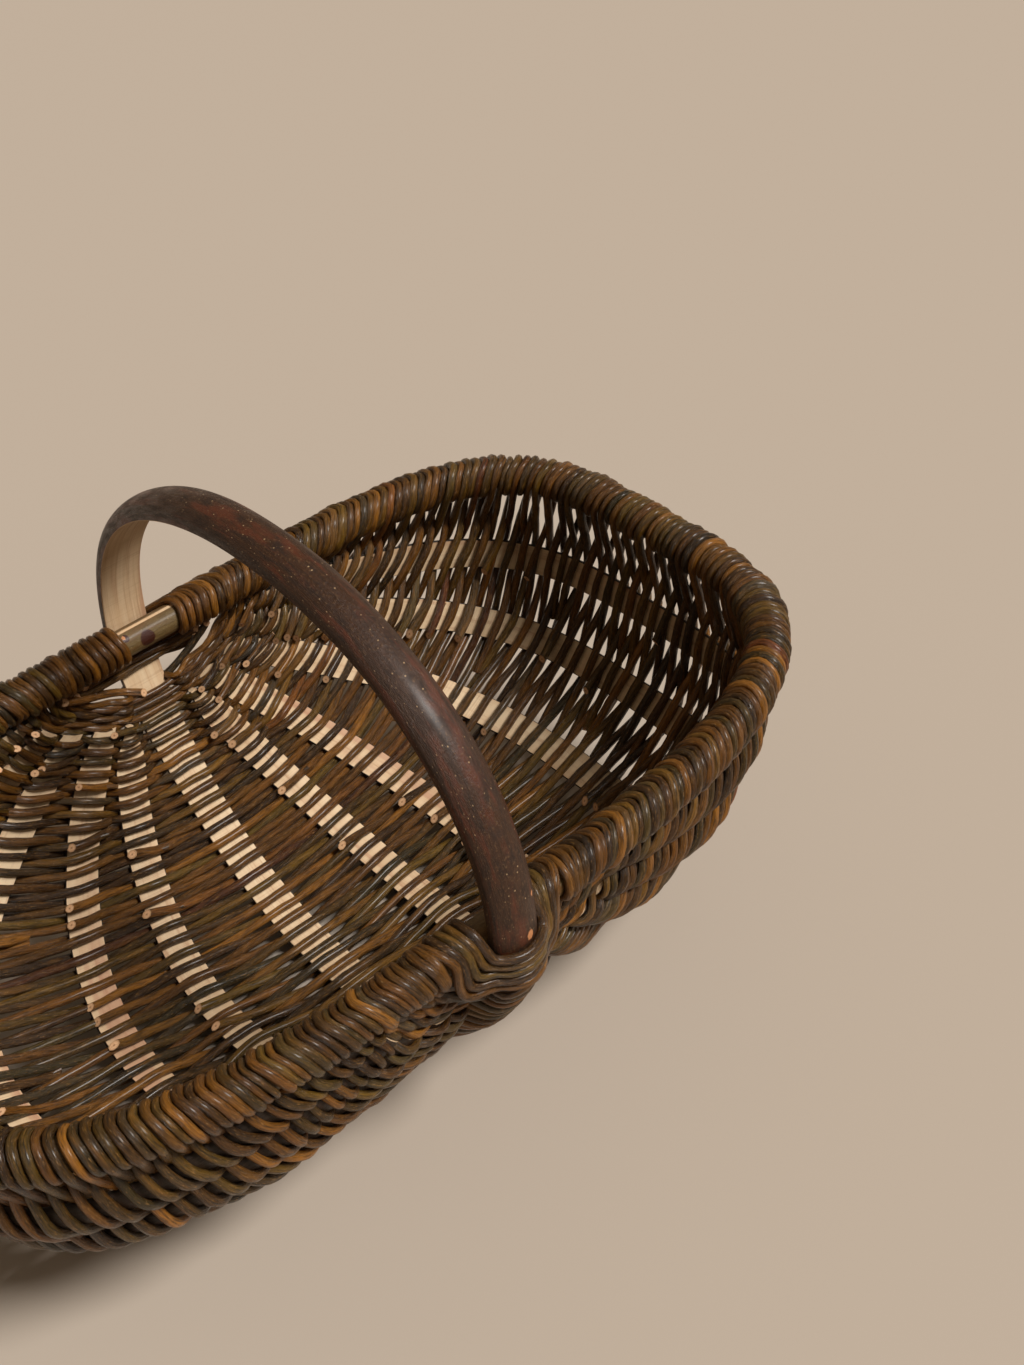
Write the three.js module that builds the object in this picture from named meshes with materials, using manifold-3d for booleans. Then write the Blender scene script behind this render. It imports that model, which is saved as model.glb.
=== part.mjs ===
// A melon basket: an oval rim hoop and a handle hoop crossing at two ears, ten split ribs that
// run from ear to ear under the bowl, and a willow weave that fills the bowl and wraps the rim.
// Millimetres, +Z up, +X along the basket, +Y across it, origin on the ground under the middle.
import * as THREE from "three";
import { mergeVertices } from "three/addons/utils/BufferGeometryUtils.js";
import Module from "manifold-3d";

const wasm = await Module();
wasm.setup();

// The bowl, measured to the rim rod's centre line and to the middle of the ribs.
const RIM_LENGTH = 508;
const RIM_WIDTH = 290;
const END_RISE = 12; // the rim's ends stand this much higher than its ears
const BOWL_DEPTH = 150;
const RIM_POWER = 3.6; // 2 is an ellipse, more is squarer
const KEEL_POWER = 3.2; // the same, for the bowl seen from the side
const MIDDLE_POWER = 2; // the same, for the bowl cut across under the handle
const POWER_BLEND = 5; // how late the middle's roundness gives way to the rim's

// The rim: one round rod, halved and lapped behind the far ear.
const RIM_ROD = 16;
const LAP_LENGTH = 96;

// The handle hoop: a split rod, flat inside and round outside, thinned where it is a rib.
const HANDLE_HEIGHT = 138; // from the rim's centre line to the middle of the handle's thickness
const HANDLE_POWER = 2.13;
const HANDLE_WIDTH = 25;
const HANDLE_THICKNESS = 11;
const KEEL_WIDTH = 20;
const KEEL_THICKNESS = 7;
const THINNING_LENGTH = 120; // from the ear, along the bowl
const HOOP_BACK = [[1, -0.35], [0.72, 0.6], [0.3, 1]]; // corners, in half widths and half thicknesses

// The ribs: flat inside, crowned outside, pointed at both ends.
const RIB_LEANS = [24, 39, 55, 66.5, 77]; // degrees from straight down
const RIB_WIDTH = 19;
const RIB_THICKNESS = 6;
const RIB_EDGE = 3.5; // thickness at a rib's two edges
const RIB_TIP = 3; // width of a rib's point
const RIB_CROWN = 0.5; // the crown's share of a rib's width
const RIB_GAP = 2; // the least weave between a rib and its neighbour

// The weave.
const WEAVER = 4.7; // a willow rod's diameter
const FILL_OUTER = 2.6; // how far the weave stands out between two ribs
const WRAP_GROOVE = 2; // between two bundles of the wrapping
const BARE_FAR = 24; // the rim stays bare from the far ear to here, on the right
const BARE_NEAR = 25; // the same at the near ear, on the left
const LASHING_START = 0.03; // share of the bowl's length, where its plate starts inside the rim
const COURSES = 2; // courses between an ear's lashing and the middle course
const FOOT_CUT = 2.5; // how much the lowest crests are worn flat
const COURSE_GAP = 0.6;
const LASHING_GAP = 1.2; // between a lashing and the first course
const CLEARANCE = 0.3;

// How finely curves are divided.
const RIM_STEPS = 32;
const STATION_BUNDLES = 2; // bundles of the wrapping from one station to the next
const HANDLE_STEPS = 24;
const COURSE_STEPS = 4;
const LASHING_STEPS = 3;
const PLATE_STEPS = 24;
const ROUND_SIDES = 8;
const CURVE_SAMPLES = 600;
const NUDGE = 0.004; // the share of a line's length, each way, that gives its direction
const LEAN_NUDGE = 1; // the degrees, each way, that give the direction across the lines
const EAR_SHARE = 0.02; // nearer an ear than this share the lines run together
const SEARCH_STEP = 0.002;
const CLOSEST_RINGS = 0.05; // the least spacing of the wrapping's rings, in stations

const UP = new THREE.Vector3(0, 0, 1);
const RIGHT = new THREE.Vector3(1, 0, 0);
const rad = THREE.MathUtils.degToRad;
const wrapRadius = RIM_ROD / 2 + WEAVER;
const ribInner = -RIB_THICKNESS / 2;
const keelOffset = KEEL_THICKNESS / 2 + ribInner; // its flat face is flush with the ribs'
const earOffset = RIM_ROD / 2 + CLEARANCE + HANDLE_THICKNESS / 2;
const rimHeight = BOWL_DEPTH + ribInner + KEEL_THICKNESS + WEAVER - FOOT_CUT;

// One line from the far ear (along = 0) to the near ear (along = 1), leaning out from straight
// down by the given degrees. All such lines together are the bowl; at 90 they are the rim.
const lines = new Map();
function line(lean) {
  if (!lines.has(lean)) lines.set(lean, sampleLine(lean));
  return lines.get(lean);
}

function sampleLine(lean) {
  const out = Math.abs(Math.sin(rad(lean)));
  const down = Math.abs(Math.cos(rad(lean)));
  const sum = (out / (RIM_LENGTH / 2)) ** KEEL_POWER + (down / BOWL_DEPTH) ** KEEL_POWER;
  const reach = sum ** (-1 / KEEL_POWER);
  const power = 2 / (MIDDLE_POWER + (RIM_POWER - MIDDLE_POWER) * out ** POWER_BLEND);
  const points = [];
  for (let i = 0; i <= CURVE_SAMPLES; i++) {
    const turn = (Math.PI * i) / CURVE_SAMPLES;
    const radius = reach * Math.abs(Math.sin(turn)) ** power;
    const y = (RIM_WIDTH / 2) * Math.sign(Math.cos(turn)) * Math.abs(Math.cos(turn)) ** power;
    const x = radius * Math.sin(rad(lean));
    const rise = END_RISE * (x / (RIM_LENGTH / 2)) ** 2 * out ** 2;
    points.push(new THREE.Vector3(x, y, rimHeight - radius * Math.cos(rad(lean)) + rise));
  }
  const lengths = [0];
  for (let i = 1; i < points.length; i++) {
    lengths.push(lengths[i - 1] + points[i].distanceTo(points[i - 1]));
  }
  return { points, lengths, total: lengths[CURVE_SAMPLES] };
}

const lineLength = (lean) => line(lean).total;

// Past its ends a line goes straight on.
function linePoint(lean, along) {
  const { points, lengths, total } = line(lean);
  const wanted = along * total;
  const found = lengths.findIndex((length) => length >= wanted);
  const i = found < 0 ? CURVE_SAMPLES : Math.max(found, 1);
  const share = (wanted - lengths[i - 1]) / (lengths[i] - lengths[i - 1]);
  return points[i - 1].clone().lerp(points[i], share);
}

function heading(lean, along) {
  return linePoint(lean, along + NUDGE).sub(linePoint(lean, along - NUDGE)).normalize();
}

function distanceToLine(at, lean) {
  return Math.min(...line(lean).points.map((point) => point.distanceTo(at)));
}

// A place on the bowl, with the way out of the bowl and the way to the same share of the next
// lines. A step across counts as far as it takes one from this line, square to it.
function bowlFrame(lean, along) {
  const held = THREE.MathUtils.clamp(along, EAR_SHARE, 1 - EAR_SHARE);
  const forward = heading(lean, along);
  const across = linePoint(lean + LEAN_NUDGE, held).sub(linePoint(lean - LEAN_NUDGE, held));
  const out = across.clone().cross(forward).normalize();
  const square = forward.clone().cross(out);
  across.divideScalar(across.dot(square));
  return { at: linePoint(lean, along), across, out };
}

function place({ at, across, out }, [w, h]) {
  return at.clone().addScaledVector(across, w).addScaledVector(out, h);
}

// three.js geometry as a solid that can be joined and cut, with its faces pointing out.
function solid(geometry) {
  const bare = geometry.clone();
  bare.deleteAttribute("normal");
  bare.deleteAttribute("uv");
  const merged = mergeVertices(bare);
  const vertProperties = merged.attributes.position.array;
  const corners = new Uint32Array(merged.index.array);
  const make = (triVerts) => new wasm.Manifold(new wasm.Mesh({ numProp: 3, vertProperties, triVerts }));
  const made = make(corners);
  return made.volume() < 0 ? make(corners.reverse()) : made;
}

// The triangles that fill an outline, turning the same way round as it does.
function fill(outline) {
  const flat = outline.map(([w, h]) => new THREE.Vector2(w, h));
  const triangles = THREE.ShapeUtils.triangulateShape(flat, []);
  return THREE.ShapeUtils.isClockWise(flat) ? triangles.map(([p, q, r]) => [p, r, q]) : triangles;
}

// The same for a long wall whose ring goes out along its outside and back along its inside:
// outside and inside say how far along each of their corners is.
function fillWall(outside, inside) {
  const back = (k) => outside.length + inside.length - 1 - k;
  const triangles = [];
  let [i, k] = [0, 0];
  while (i < outside.length - 1 || k < inside.length - 1) {
    const isOutside = k === inside.length - 1 || outside[i + 1] <= inside[k + 1];
    triangles.push(isOutside ? [i, i + 1, back(k)] : [i, back(k + 1), back(k)]);
    if (isOutside) i++;
    else k++;
  }
  return triangles;
}

// A closed solid through rings of points, with the triangles that fill its first and last ring,
// or without them where the last ring joins the first.
function loft(rings, first = null, last = first) {
  const size = rings[0].length;
  const index = [];
  const spans = first ? rings.length - 1 : rings.length;
  for (let i = 0; i < spans; i++) {
    const a = i * size;
    const b = ((i + 1) % rings.length) * size;
    for (let j = 0; j < size; j++) {
      const k = (j + 1) % size;
      index.push(a + j, a + k, b + k, a + j, b + k, b + j);
    }
  }
  if (first) {
    const end = (rings.length - 1) * size;
    for (const [p, q, r] of first) index.push(p, r, q);
    for (const [p, q, r] of last) index.push(end + p, end + q, end + r);
  }
  const geometry = new THREE.BufferGeometry();
  const position = rings.flat().flatMap((point) => point.toArray());
  geometry.setAttribute("position", new THREE.Float32BufferAttribute(position, 3));
  geometry.setIndex(index);
  return solid(geometry);
}

function box(low, high) {
  const size = high.clone().sub(low);
  const middle = low.clone().add(high).multiplyScalar(0.5);
  const geometry = new THREE.BoxGeometry(size.x, size.y, size.z);
  geometry.translate(middle.x, middle.y, middle.z);
  return solid(geometry);
}

function mesh(name, shape, material) {
  const { vertProperties, triVerts } = shape.getMesh();
  const geometry = new THREE.BufferGeometry();
  geometry.setAttribute("position", new THREE.BufferAttribute(vertProperties, 3));
  geometry.setIndex(new THREE.BufferAttribute(triVerts, 1));
  geometry.computeVertexNormals();
  const made = new THREE.Mesh(geometry, material);
  made.name = name;
  return made;
}

function spread(from, to, steps, make) {
  const share = (i) => from + ((to - from) * i) / steps;
  return Array.from({ length: steps + 1 }, (_, i) => make(share(i)));
}

// The rim rod and its wrapping follow the rim line, in stations from the far ear to the near ear
// on each side. A ring between two stations lies straight between theirs.
const circle = Array.from({ length: ROUND_SIDES }, (_, i) => {
  const turn = (2 * Math.PI * (i + 0.5)) / ROUND_SIDES;
  return [Math.cos(turn), Math.sin(turn)];
});

function stationRing(side, station, radius) {
  const at = linePoint(90 * side, station / RIM_STEPS);
  const forward = heading(90 * side, station / RIM_STEPS);
  const across = forward.clone().cross(UP).multiplyScalar(side).normalize();
  const out = across.clone().cross(forward).multiplyScalar(side).normalize();
  return circle.map(([c, s]) => place({ at, across, out }, [radius * c, radius * s]));
}

function rimRing(side, station, radius) {
  const before = Math.min(Math.floor(station), RIM_STEPS - 1);
  const next = stationRing(side, before + 1, radius);
  return stationRing(side, before, radius).map((p, i) => p.lerp(next[i], station - before));
}

function rimLoop(radius) {
  const right = spread(0, RIM_STEPS - 1, RIM_STEPS - 1, (station) => stationRing(1, station, radius));
  const left = spread(RIM_STEPS, 1, RIM_STEPS - 1, (station) => stationRing(-1, station, radius));
  return loft([...right, ...left]);
}

// What the weave goes round, and the ground that it stands on.
const rimBore = rimLoop(RIM_ROD / 2 + CLEARANCE);
const wrapRoom = rimLoop(wrapRadius + CLEARANCE);
const ground = box(
  new THREE.Vector3(-RIM_LENGTH, -RIM_WIDTH, -BOWL_DEPTH),
  new THREE.Vector3(RIM_LENGTH, RIM_WIDTH, 0),
);

// The rim's ends are halved for the lap: a thin cut along it, and one across at each end.
function rimHoop() {
  const y = RIM_WIDTH / 2;
  const gap = CLEARANCE / 2;
  const half = LAP_LENGTH / 2;
  const low = rimHeight - RIM_ROD;
  const high = rimHeight + RIM_ROD;
  const cut = (x1, y1, x2, y2) => box(new THREE.Vector3(x1, y1, low), new THREE.Vector3(x2, y2, high));
  return rimLoop(RIM_ROD / 2)
    .subtract(cut(-half - gap, y - gap, half + gap, y + gap))
    .subtract(cut(-half - gap, y - gap, -half + gap, y + RIM_ROD))
    .subtract(cut(half - gap, y - RIM_ROD, half + gap, y + gap));
}

// The wrapping on one side of the rim, gathered in bundles with a groove between each two. Its
// rings stand at a groove and at the middle of a bundle in turn.
function rimWrap(side) {
  const besideHoop = HANDLE_WIDTH / 2 + CLEARANCE;
  const span = lineLength(90) / RIM_STEPS;
  const start = (side > 0 ? BARE_FAR : besideHoop) / span;
  const end = RIM_STEPS - (side > 0 ? besideHoop : BARE_NEAR) / span;
  const rings = [rimRing(side, start, wrapRadius - WRAP_GROOVE)];
  const halfBundle = 1 / (2 * STATION_BUNDLES);
  const first = Math.ceil((start + CLOSEST_RINGS) / halfBundle);
  for (let i = first; i * halfBundle < end - CLOSEST_RINGS; i++) {
    rings.push(rimRing(side, i * halfBundle, wrapRadius - (i % 2 ? 0 : WRAP_GROOVE)));
  }
  rings.push(rimRing(side, end, wrapRadius - WRAP_GROOVE));
  return loft(rings, fill(circle)).subtract(rimBore);
}

// The hoop's section, its middle out from the bowl's line by offset: a round back, and inside it
// the flat face at inner.
function hoopSection(width, thickness, offset = 0, inner = offset - thickness / 2) {
  const right = HOOP_BACK.map(([w, h]) => [(w * width) / 2, offset + (h * thickness) / 2]);
  const left = right.map(([w, h]) => [-w, h]).reverse();
  return [[-width / 2, inner], [width / 2, inner], ...right, ...left];
}

// The hoop under the bowl, from outside the rim at the ears to flush with the ribs, grown all
// round by grow. The room for it and the cover over it have their flat side at inner.
function keelSection(along, grow = 0, inner = undefined) {
  const fromEar = Math.min(along, 1 - along) * lineLength(0);
  const share = THREE.MathUtils.smoothstep(fromEar, 0, THINNING_LENGTH);
  const offset = THREE.MathUtils.lerp(earOffset, keelOffset, share);
  const width = THREE.MathUtils.lerp(HANDLE_WIDTH, KEEL_WIDTH, share) + 2 * grow;
  const thickness = THREE.MathUtils.lerp(HANDLE_THICKNESS, KEEL_THICKNESS, share) + 2 * grow;
  return hoopSection(width, thickness, offset, inner);
}

function keelRing(along, grow, inner) {
  const frame = bowlFrame(0, along);
  return keelSection(along, grow, inner).map((point) => place(frame, point));
}

function handlePoint(turn) {
  const power = 2 / HANDLE_POWER;
  const reach = -(RIM_WIDTH / 2 + earOffset) * Math.sign(Math.cos(turn));
  const y = reach * Math.abs(Math.cos(turn)) ** power;
  return new THREE.Vector3(0, y, rimHeight + HANDLE_HEIGHT * Math.abs(Math.sin(turn)) ** power);
}

function handleRing(turn) {
  const before = handlePoint(Math.max(turn - NUDGE * Math.PI, 0));
  const forward = handlePoint(Math.min(turn + NUDGE * Math.PI, Math.PI)).sub(before).normalize();
  const frame = { at: handlePoint(turn), across: RIGHT, out: RIGHT.clone().cross(forward) };
  return hoopSection(HANDLE_WIDTH, HANDLE_THICKNESS).map((point) => place(frame, point));
}

const leftLeans = RIB_LEANS.map((lean) => -lean).reverse();
const ribLeans = [...leftLeans, ...RIB_LEANS];
const stops = [-90, ...leftLeans, 0, ...RIB_LEANS, 90];

// Half a rib's width: it narrows towards the ears, where the ribs crowd each other, the covered
// hoop and the wrapped rim.
function ribHalf(lean, along) {
  const at = linePoint(lean, along);
  const i = stops.indexOf(lean);
  const crowding = [stops[i - 1], stops[i + 1]].map((next) => (distanceToLine(at, next) - RIB_GAP) / 2);
  const toHoop = distanceToLine(at, 0) - HANDLE_WIDTH / 2 - WEAVER - RIB_GAP;
  const toRim = distanceToLine(at, 90 * Math.sign(lean)) - wrapRadius - RIB_GAP;
  return Math.min(RIB_WIDTH / 2, ...crowding, toHoop, toRim);
}

// The lashing ends where the ribs beside the hoop have room for their points.
function lashingReach() {
  let along = LASHING_START;
  while (ribHalf(RIB_LEANS[0], along) < RIB_TIP / 2) along += SEARCH_STEP;
  return along;
}

// The hoop, the ribs and the weave all have their rings at the stations, so that they fit.
const lashingEnd = lashingReach();
const courseCount = 2 * COURSES + 1;
const stations = spread(lashingEnd, 1 - lashingEnd, courseCount * COURSE_STEPS, (along) => along);
const toFirst = spread(0, lashingEnd, LASHING_STEPS, (along) => along).slice(0, LASHING_STEPS);
const hoopStations = [...toFirst, ...stations, ...toFirst.map((along) => 1 - along).reverse()];

// Up from the near ear, over, down to the far ear, and back under the bowl.
function handleHoop() {
  const over = spread(0, Math.PI, HANDLE_STEPS, handleRing).slice(0, HANDLE_STEPS);
  const under = hoopStations.slice(0, hoopStations.length - 1).map((along) => keelRing(along));
  return loft([...over, ...under]);
}

// A rib reaches from the first to the last station that has room for its point.
function ribStations(lean) {
  return stations.filter((along) => ribHalf(lean, along) >= RIB_TIP / 2);
}

function ribSection(half, grow = 0) {
  const w = half + grow;
  const edge = ribInner + RIB_EDGE + grow;
  const top = RIB_THICKNESS / 2 + grow;
  return [
    [-w, ribInner],
    [-w, edge],
    [-w * RIB_CROWN, top],
    [w * RIB_CROWN, top],
    [w, edge],
    [w, ribInner],
  ];
}

// A rib's rings run the same way round as its room's in the weave, so that their facets match.
function rib(lean) {
  const ring = (along) => {
    const frame = bowlFrame(lean, along);
    return ribSection(ribHalf(lean, along)).map((point) => place(frame, point)).reverse();
  };
  return loft(ribStations(lean).map(ring), fill(ribSection(1).reverse()));
}

// The weave across the bowl, outside from the left rim to the right, and back inside. It swells
// over each rib and over the hoop, and leaves them room inside. Short of a rib it is grooved.
function weaveSection(along) {
  const outside = [];
  const inside = [];
  stops.forEach((lean, i) => {
    const frame = bowlFrame(lean, along);
    const add = (chain, [w, h]) => {
      chain.push({ at: place(frame, [w, h]), turn: rad(lean) + w / BOWL_DEPTH });
    };
    if (lean === 0) {
      const [, , ...cover] = keelSection(along, WEAVER, ribInner);
      const [left, right, ...room] = keelSection(along, CLEARANCE, ribInner);
      add(outside, [cover.at(-1)[0], FILL_OUTER]);
      cover.reverse().forEach((point) => add(outside, point));
      add(outside, [cover.at(-1)[0], FILL_OUTER]);
      [left, ...room.reverse(), right].forEach((point) => add(inside, point));
    } else if (Math.abs(lean) === 90) {
      add(outside, [0, FILL_OUTER]);
      add(inside, [0, ribInner]);
    } else {
      const half = ribHalf(lean, along);
      const swell = half < RIB_TIP / 2 ? FILL_OUTER : RIB_THICKNESS / 2 + WEAVER;
      const depth = half < RIB_TIP / 2 ? CLEARANCE / RIB_THICKNESS : 1;
      const wide = Math.max(half, RIB_TIP / 2);
      [-wide, wide].forEach((w) => add(outside, [w, swell]));
      ribSection(wide, CLEARANCE).forEach(([w, h]) => add(inside, [w, ribInner + (h - ribInner) * depth]));
    }
    if (i < stops.length - 1 && lean !== 0 && stops[i + 1] !== 0) {
      const between = bowlFrame((lean + stops[i + 1]) / 2, along);
      const turn = rad((lean + stops[i + 1]) / 2);
      outside.push({ at: place(between, [0, FILL_OUTER]), turn });
    }
  });
  const turns = (chain) => chain.map(({ turn }) => turn);
  const triangles = fillWall(turns(outside), turns(inside));
  return { ring: [...outside, ...inside.reverse()].map(({ at }) => at), triangles };
}

// One course of the weave, counted from the far ear, worn flat where it stands on the ground.
// Its end faces are filled as its neighbours' are, so that they run side by side.
function course(number) {
  const gapShare = COURSE_GAP / lineLength(0);
  const along = stations.slice(number * COURSE_STEPS, (number + 1) * COURSE_STEPS + 1);
  const first = weaveSection(along[0]).triangles;
  const last = weaveSection(along[COURSE_STEPS]).triangles;
  const rings = along.slice(1, COURSE_STEPS).map((share) => weaveSection(share).ring);
  rings.unshift(weaveSection(along[0] + gapShare / 2).ring);
  rings.push(weaveSection(along[COURSE_STEPS] - gapShare / 2).ring);
  return loft(rings, first, last).subtract(wrapRoom).subtract(ground);
}

// The lashing at an ear: a plate of weave inside the hoop, and the turns that cover the hoop.
function earLashing(ear) {
  const from = (along) => (ear === "far" ? along : 1 - along);
  const end = lashingEnd - LASHING_GAP / lineLength(0);
  const leans = spread(-90, 90, PLATE_STEPS, (lean) => lean);
  const plateRing = (along) => [
    ...leans.map((lean) => place(bowlFrame(lean, from(along)), [0, FILL_OUTER])),
    ...[...leans].reverse().map((lean) => place(bowlFrame(lean, from(along)), [0, ribInner])),
  ];
  const plate = loft(spread(LASHING_START, end, LASHING_STEPS, plateRing), fillWall(leans, leans));
  const coverRings = spread(0, end, LASHING_STEPS, (along) => keelRing(from(along), WEAVER, ribInner));
  const roomRings = [-lashingEnd, ...toFirst, lashingEnd, 2 * lashingEnd].map((along) =>
    keelRing(from(along), CLEARANCE, ribInner - WEAVER),
  );
  const ends = fill(hoopSection(HANDLE_WIDTH, HANDLE_THICKNESS));
  return plate
    .add(loft(coverRings, ends))
    .subtract(loft(roomRings, ends))
    .subtract(wrapRoom);
}

const colours = {
  bark: new THREE.MeshStandardMaterial({ color: 0x3a2a20, roughness: 0.55, metalness: 0 }),
  rimBark: new THREE.MeshStandardMaterial({ color: 0x5c4d38, roughness: 0.6, metalness: 0 }),
  splitWood: new THREE.MeshStandardMaterial({ color: 0xc9a67c, roughness: 0.75, metalness: 0 }),
  wrap: new THREE.MeshStandardMaterial({ color: 0x6b4a2a, roughness: 0.5, metalness: 0 }),
  weave: new THREE.MeshStandardMaterial({ color: 0x54402a, roughness: 0.6, metalness: 0 }),
};

const basket = new THREE.Group();
basket.add(mesh("rim_hoop", rimHoop(), colours.rimBark));
basket.add(mesh("handle_hoop", handleHoop(), colours.bark));
for (const [side, word] of [[1, "right"], [-1, "left"]]) {
  RIB_LEANS.forEach((lean, i) => {
    basket.add(mesh(`rib_${word}_${i + 1}`, rib(side * lean), colours.splitWood));
  });
  basket.add(mesh(`rim_wrap_${word}`, rimWrap(side), colours.wrap));
}

// Each ear has its lashing and its courses, and the middle course closes the bowl.
for (const ear of ["far", "near"]) basket.add(mesh(`ear_lashing_${ear}`, earLashing(ear), colours.weave));
for (let i = 0; i < COURSES; i++) {
  basket.add(mesh(`weave_far_${i + 1}`, course(i), colours.weave));
  basket.add(mesh(`weave_near_${i + 1}`, course(2 * COURSES - i), colours.weave));
}
basket.add(mesh("weave_middle", course(COURSES), colours.weave));

export default basket;
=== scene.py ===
"""The looks of the melon basket: every willow rod of its weave, the split ribs, the rim and the handle.

Sizes are in millimetres, as in the CAD, and become metres where a mesh is made. +Z is up, +X runs along
the basket, and the far ear is at +Y. A place on the bowl has a lean, in degrees from straight down, a
share, from the far ear (0) to the near ear (1), and a height, out from the middle of the ribs. A side
is -1 on the left (-X) and 1 on the right.
"""

import math

import bpy
import numpy as np
from mathutils import Matrix, Vector
from numpy.linalg import norm


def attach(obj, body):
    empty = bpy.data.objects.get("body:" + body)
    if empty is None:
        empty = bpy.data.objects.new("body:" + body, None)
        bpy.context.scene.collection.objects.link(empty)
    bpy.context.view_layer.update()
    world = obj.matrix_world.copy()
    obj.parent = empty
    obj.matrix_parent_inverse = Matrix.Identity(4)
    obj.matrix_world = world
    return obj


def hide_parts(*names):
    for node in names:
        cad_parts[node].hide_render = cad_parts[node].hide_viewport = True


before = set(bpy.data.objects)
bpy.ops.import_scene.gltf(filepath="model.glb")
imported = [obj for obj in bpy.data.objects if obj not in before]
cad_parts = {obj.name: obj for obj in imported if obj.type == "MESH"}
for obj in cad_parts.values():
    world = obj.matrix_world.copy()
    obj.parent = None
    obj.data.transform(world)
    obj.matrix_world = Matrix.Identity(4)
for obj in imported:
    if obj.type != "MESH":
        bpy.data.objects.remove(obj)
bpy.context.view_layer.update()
rng = np.random.default_rng(11)

# The bowl, the rim, the hoop and the ribs, as in the CAD.
RIM_LENGTH, RIM_WIDTH, END_RISE, BOWL_DEPTH = 508, 290, 12, 150
RIM_POWER, KEEL_POWER, MIDDLE_POWER, POWER_BLEND = 3.6, 3.2, 2, 5
RIM_HEIGHT = 156.2
RIM_RADIUS = 8
RIM_LEAN = 90
LAP_LENGTH = 96
HANDLE_HEIGHT, HANDLE_POWER = 138, 2.13
HANDLE_WIDTH, HANDLE_THICKNESS = 25, 11
KEEL_WIDTH, KEEL_THICKNESS, THINNING_LENGTH = 20, 7, 120
EAR_OFFSET, KEEL_OFFSET = 13.8, 0.5
RIB_LEANS = (24, 39, 55, 66.5, 77)
RIB_WIDTH, RIB_TIP, RIB_GAP = 19, 3, 2
RIB_INNER, RIB_OUTER = -2.8, 2.6  # heights of a rib's two faces
RIB_START = 0.104  # the ribs' points start at this share of a line
WEAVER = 4.7
LASHING_END = 0.108
COURSES = ("far_1", "far_2", "middle", "near_2", "near_1")

# The weave.
TURNS = {"far": 7, "near": 5}  # turns over the hoop at each ear, before the plain weave starts
TURN_PITCH = 4.7
ROWS = 106  # rows that run from rim to rim
THIN, THICK = 3.75, 4.95  # rods near the ears and in the middle
CLOSE, WIDE = 2.7, 4.7  # how far apart they lie there
THICKENING = 0.34  # the share of the rows that it takes from thin to thick
SIZE_DRIFT, SIZE_LIMITS = 0.3, (-0.55, 0.6)
RIM_SIZE, RIM_THICKENING, RIM_DRIFT, RIM_LIMITS = 4.3, 0.35, 0.6, (3.3, 5.9)  # at the rim
BARE = {"far": {-1: 13, 1: 24}, "near": {-1: 17, 1: 13}}  # the rim, from the hoop's middle
WRAP_PITCH = 5.0
WRAP_GAP = 0.05

# The rods.
ROD_STEP = 3.2
ROD_SIDES = 8
SPLINE_STEPS = 8
SPRING, SPRING_STEPS = 0.22, 8
ROD_DRIFT, THICKNESS_DRIFT, SHADE_DRIFT = 0.22, 0.09, 0.12
KNOT_SWELL, KNOT_LENGTH = 0.075, 2.2
SPLICED, SPLICED_TWICE = 0.86, 0.35  # the chances that a row has a splice, and then a second one
PAST_RIB = (9, 14)  # how far a spliced rod's end stands past its rib


def smoothstep(low, high, value):
    t = np.clip((np.asarray(value, float) - low) / (high - low), 0, 1)
    return t * t * (3 - 2 * t)


def circle(count):
    """The angles of a circle's points."""
    return 2 * math.pi * np.arange(count) / count


def add_object(name, data):
    made = bpy.data.objects.new(name, data)
    bpy.context.collection.objects.link(made)
    return made


def unit(vectors):
    return vectors / np.maximum(norm(vectors, axis=-1, keepdims=True), 1e-9)


def lengths_along(path):
    """The path's length up to each of its points."""
    return np.concatenate([[0], np.cumsum(norm(np.diff(path, axis=0), axis=1))])


def places_along(path, lengths, wanted):
    return np.stack([np.interp(wanted, lengths, path[:, i]) for i in range(3)], 1)


# The bowl as a grid of places, with the ways across its lines and out of it at each.

GRID_LEANS = np.linspace(-98, 98, 393)
GRID_SHARES = np.linspace(-0.01, 1.01, 511)
LINE_SAMPLES = 800
EAR_SHARE = 0.02  # nearer an ear than this the way across is held


def line_of(lean):
    """The line that leans out by lean degrees, at the grid's shares, and its length."""
    turned = math.radians(lean)
    out, down = abs(math.sin(turned)), abs(math.cos(turned))
    along_rim, along_keel = out / (RIM_LENGTH / 2), down / BOWL_DEPTH
    reach = (along_rim**KEEL_POWER + along_keel**KEEL_POWER) ** (-1 / KEEL_POWER)
    power = 2 / (MIDDLE_POWER + (RIM_POWER - MIDDLE_POWER) * out**POWER_BLEND)
    turn = np.linspace(0, math.pi, LINE_SAMPLES + 1)
    radius = reach * np.abs(np.sin(turn)) ** power
    x = radius * math.sin(turned)
    y = RIM_WIDTH / 2 * np.sign(np.cos(turn)) * np.abs(np.cos(turn)) ** power
    z = RIM_HEIGHT - radius * math.cos(turned) + END_RISE * (x / (RIM_LENGTH / 2)) ** 2 * out**2
    points = np.stack([x, y, z], 1)
    lengths = lengths_along(points)
    total = lengths[-1]
    wanted = GRID_SHARES * total
    placed = places_along(points, lengths, wanted)
    before, after = wanted < 0, wanted > total
    placed[before] += wanted[before, None] * unit(points[1] - points[0])
    placed[after] += (wanted[after] - total)[:, None] * unit(points[-1] - points[-2])
    return placed, total


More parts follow.
